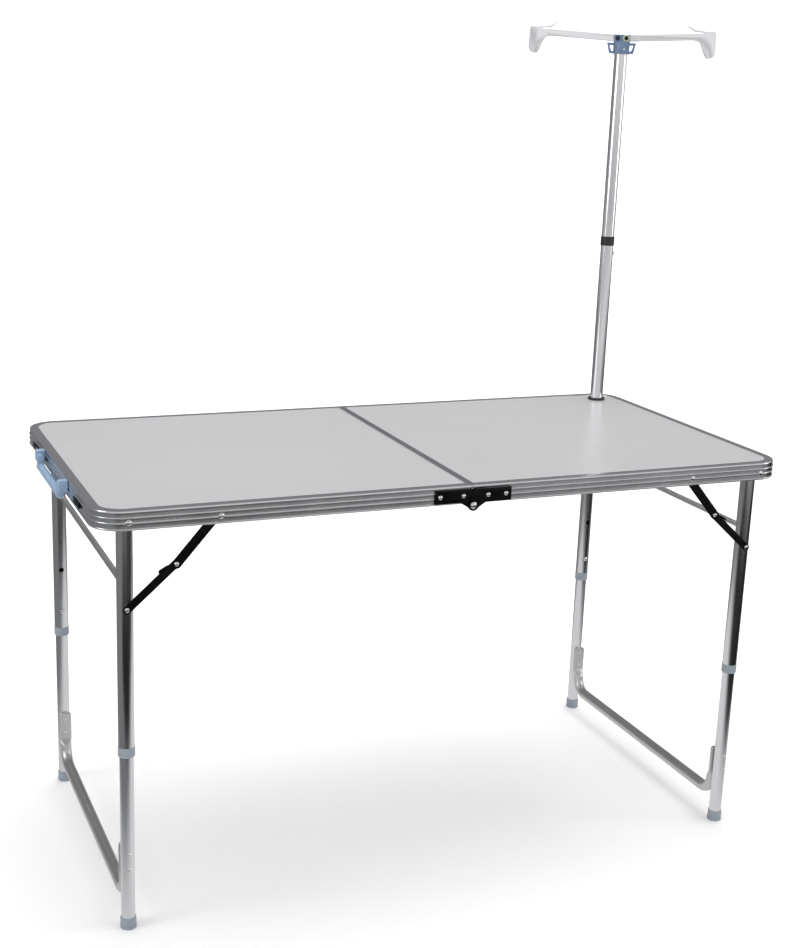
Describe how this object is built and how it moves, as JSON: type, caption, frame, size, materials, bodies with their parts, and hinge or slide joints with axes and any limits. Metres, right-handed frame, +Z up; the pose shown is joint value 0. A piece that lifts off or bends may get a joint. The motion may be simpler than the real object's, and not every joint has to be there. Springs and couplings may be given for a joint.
{
  "type": "folding table",
  "caption": "Suitcase-fold aluminium table with telescopic leg frames that fold in, locking braces, carry handle and a lift-out pole with hinged hanger arms.",
  "frame": {"origin": "floor level, at the bottom centre of the whole object's box", "axes": "+Z up, +X along the table towards the end with the pole, -Y is the front with the locking braces"},
  "size_m": [1.3144, 0.6508, 1.4266],
  "materials": {
    "laminate": "satin light grey laminate on fibreboard",
    "rim_aluminium": "bright anodised extrusion with ribs",
    "leg_aluminium": "bright drawn tube",
    "pole_aluminium": "bright drawn tube",
    "arm_aluminium": "satin",
    "black_steel": "black enamel",
    "rivet_steel": "bright rivet heads",
    "spring_steel": "plated spring steel",
    "grey_plastic": "moulded grey-blue",
    "blue_plastic": "moulded blue-grey",
    "black_plastic": "moulded black",
    "nylon": "natural nylon"
  },
  "bodies": {
    "left_half": {"left_panel": "laminate", "left_rim": "rim_aluminium", "left_centre_rail": "rim_aluminium", "left_hinge_plates": "black_steel", "left_hinge_rivets": "rivet_steel", "left_rim_rivets": "rivet_steel", "left_leg_spacers": "nylon", "handle_brackets": "blue_plastic"},
    "right_half": {"right_panel": "laminate", "right_rim": "rim_aluminium", "right_centre_rail": "rim_aluminium", "right_hinge_plates": "black_steel", "right_hinge_rivets": "rivet_steel", "hinge_pins": "rivet_steel", "right_rim_rivets": "rivet_steel", "right_leg_spacers": "nylon", "pole_socket": "black_plastic"},
    "left_legs": {"front_left_upper_leg": "leg_aluminium", "rear_left_upper_leg": "leg_aluminium", "left_crossbar": "leg_aluminium", "left_leg_collars": "grey_plastic", "left_brace_leg_rivet": "rivet_steel"},
    "left_lower_legs": {"front_left_lower_leg": "leg_aluminium", "rear_left_lower_leg": "leg_aluminium", "left_stretcher": "leg_aluminium", "left_stretcher_rivets": "rivet_steel", "left_feet": "grey_plastic"},
    "left_brace_upper_arm": {"left_brace_upper": "black_steel", "left_brace_elbow_rivet": "rivet_steel"},
    "left_brace_lower_arm": {"left_brace_lower": "black_steel"},
    "front_left_button": {"front_left_snap_clip": "spring_steel"},
    "rear_left_button": {"rear_left_snap_clip": "spring_steel"},
    "right_legs": {"front_right_upper_leg": "leg_aluminium", "rear_right_upper_leg": "leg_aluminium", "right_crossbar": "leg_aluminium", "right_leg_collars": "grey_plastic", "right_brace_leg_rivet": "rivet_steel"},
    "right_lower_legs": {"front_right_lower_leg": "leg_aluminium", "rear_right_lower_leg": "leg_aluminium", "right_stretcher": "leg_aluminium", "right_stretcher_rivets": "rivet_steel", "right_feet": "grey_plastic"},
    "right_brace_upper_arm": {"right_brace_upper": "black_steel", "right_brace_elbow_rivet": "rivet_steel"},
    "right_brace_lower_arm": {"right_brace_lower": "black_steel"},
    "front_right_button": {"front_right_snap_clip": "spring_steel"},
    "rear_right_button": {"rear_right_snap_clip": "spring_steel"},
    "handle": {"handle_grip": "blue_plastic"},
    "front_latch": {"front_latch_hook": "black_steel"},
    "rear_latch": {"rear_latch_hook": "black_steel"},
    "pole_lower": {"pole_lower_tube": "pole_aluminium", "pole_foot_plug": "black_plastic", "pole_collar": "black_plastic"},
    "pole_upper": {"pole_upper_tube": "pole_aluminium", "pole_spigot": "pole_aluminium", "pole_hub": "blue_plastic", "pole_hub_fasteners": "rivet_steel"},
    "pole_button": {"pole_snap_clip": "spring_steel"},
    "right_arm": {"pole_arm_right": "arm_aluminium"},
    "left_arm": {"pole_arm_left": "arm_aluminium"}
  },
  "joints": [
    {"name": "half_fold", "type": "hinge", "parent": "left_half", "child": "right_half", "pos_m": [-0.04143, -0.01568, 0.658], "axis": [0, 1, 0], "range_deg": [0, 70]},
    {"name": "left_leg_fold", "type": "hinge", "parent": "left_half", "child": "left_legs", "pos_m": [-0.59043, -0.01568, 0.6724], "axis": [0, -1, 0], "range_deg": [0, 90]},
    {"name": "left_leg_slide", "type": "slide", "parent": "left_legs", "child": "left_lower_legs", "axis": [0, 0, 1], "range_m": [0, 0.15]},
    {"name": "left_brace_upper_turn", "type": "hinge", "parent": "left_half", "child": "left_brace_upper_arm", "pos_m": [-0.45243, -0.01568, 0.6724], "axis": [0, 1, 0], "range_deg": [0, 49.2]},
    {"name": "left_brace_lower_turn", "type": "hinge", "parent": "left_legs", "child": "left_brace_lower_arm", "pos_m": [-0.59043, -0.01568, 0.5324], "axis": [0, -1, 0], "range_deg": [0, 48.3]},
    {"name": "front_left_button_press", "type": "slide", "parent": "left_lower_legs", "child": "front_left_button", "axis": [0, -1, 0], "range_m": [0, 0.0036], "deforming": ["front_left_snap_clip"]},
    {"name": "rear_left_button_press", "type": "slide", "parent": "left_lower_legs", "child": "rear_left_button", "axis": [0, 1, 0], "range_m": [0, 0.0036], "deforming": ["rear_left_snap_clip"]},
    {"name": "right_leg_fold", "type": "hinge", "parent": "right_half", "child": "right_legs", "pos_m": [0.50757, -0.01568, 0.6724], "axis": [0, 1, 0], "range_deg": [0, 90]},
    {"name": "right_leg_slide", "type": "slide", "parent": "right_legs", "child": "right_lower_legs", "axis": [0, 0, 1], "range_m": [0, 0.15]},
    {"name": "right_brace_upper_turn", "type": "hinge", "parent": "right_half", "child": "right_brace_upper_arm", "pos_m": [0.36957, -0.01568, 0.6724], "axis": [0, -1, 0], "range_deg": [0, 49.2]},
    {"name": "right_brace_lower_turn", "type": "hinge", "parent": "right_legs", "child": "right_brace_lower_arm", "pos_m": [0.50757, -0.01568, 0.5324], "axis": [0, 1, 0], "range_deg": [0, 48.3]},
    {"name": "front_right_button_press", "type": "slide", "parent": "right_lower_legs", "child": "front_right_button", "axis": [0, -1, 0], "range_m": [0, 0.0036], "deforming": ["front_right_snap_clip"]},
    {"name": "rear_right_button_press", "type": "slide", "parent": "right_lower_legs", "child": "rear_right_button", "axis": [0, 1, 0], "range_m": [0, 0.0036], "deforming": ["rear_right_snap_clip"]},
    {"name": "handle_swing", "type": "hinge", "parent": "left_half", "child": "handle", "pos_m": [-0.65043, -0.01568, 0.6785], "axis": [0, 1, 0], "range_deg": [0, 90]},
    {"name": "front_latch_turn", "type": "hinge", "parent": "left_half", "child": "front_latch", "pos_m": [-0.64143, -0.17568, 0.674], "axis": [1, 0, 0], "range_deg": [0, 90]},
    {"name": "rear_latch_turn", "type": "hinge", "parent": "left_half", "child": "rear_latch", "pos_m": [-0.64143, 0.14432, 0.674], "axis": [-1, 0, 0], "range_deg": [0, 90]},
    {"name": "pole_lower_lift", "type": "slide", "parent": "right_half", "child": "pole_lower", "axis": [0, 0, 1], "range_m": [0, 0.032]},
    {"name": "pole_upper_lift", "type": "slide", "parent": "pole_lower", "child": "pole_upper", "axis": [0, 0, 1], "range_m": [0, 0.062]},
    {"name": "pole_button_press", "type": "slide", "parent": "pole_upper", "child": "pole_button", "axis": [-0.866, 0.5, 0], "range_m": [0, 0.0036], "stiffness_N_per_m": 800, "springref_m": -0.002, "deforming": ["pole_snap_clip"]},
    {"name": "left_arm_raise", "type": "hinge", "parent": "pole_upper", "child": "left_arm", "pos_m": [0.49238, 0.23547, 1.3995], "axis": [0.5, 0.866, 0], "range_deg": [0, 75]},
    {"name": "right_arm_raise", "type": "hinge", "parent": "pole_upper", "child": "right_arm", "pos_m": [0.50675, 0.22717, 1.3995], "axis": [-0.5, -0.866, 0], "range_deg": [0, 75]}
  ],
  "couplings": [
    {"joint": "left_leg_slide", "follows": "left_leg_fold", "m_per_rad": 0.095493},
    {"joint": "left_brace_upper_turn", "follows": "left_leg_fold", "ratio": 0.54654},
    {"joint": "left_brace_lower_turn", "follows": "left_leg_fold", "ratio": 0.53654},
    {"joint": "front_left_button_press", "follows": "left_leg_fold", "m_per_rad": 0.0022917},
    {"joint": "rear_left_button_press", "follows": "left_leg_fold", "m_per_rad": 0.0022917},
    {"joint": "right_leg_slide", "follows": "right_leg_fold", "m_per_rad": 0.095493},
    {"joint": "right_brace_upper_turn", "follows": "right_leg_fold", "ratio": 0.54654},
    {"joint": "right_brace_lower_turn", "follows": "right_leg_fold", "ratio": 0.53654},
    {"joint": "front_right_button_press", "follows": "right_leg_fold", "m_per_rad": 0.0022917},
    {"joint": "rear_right_button_press", "follows": "right_leg_fold", "m_per_rad": 0.0022917}
  ]
}
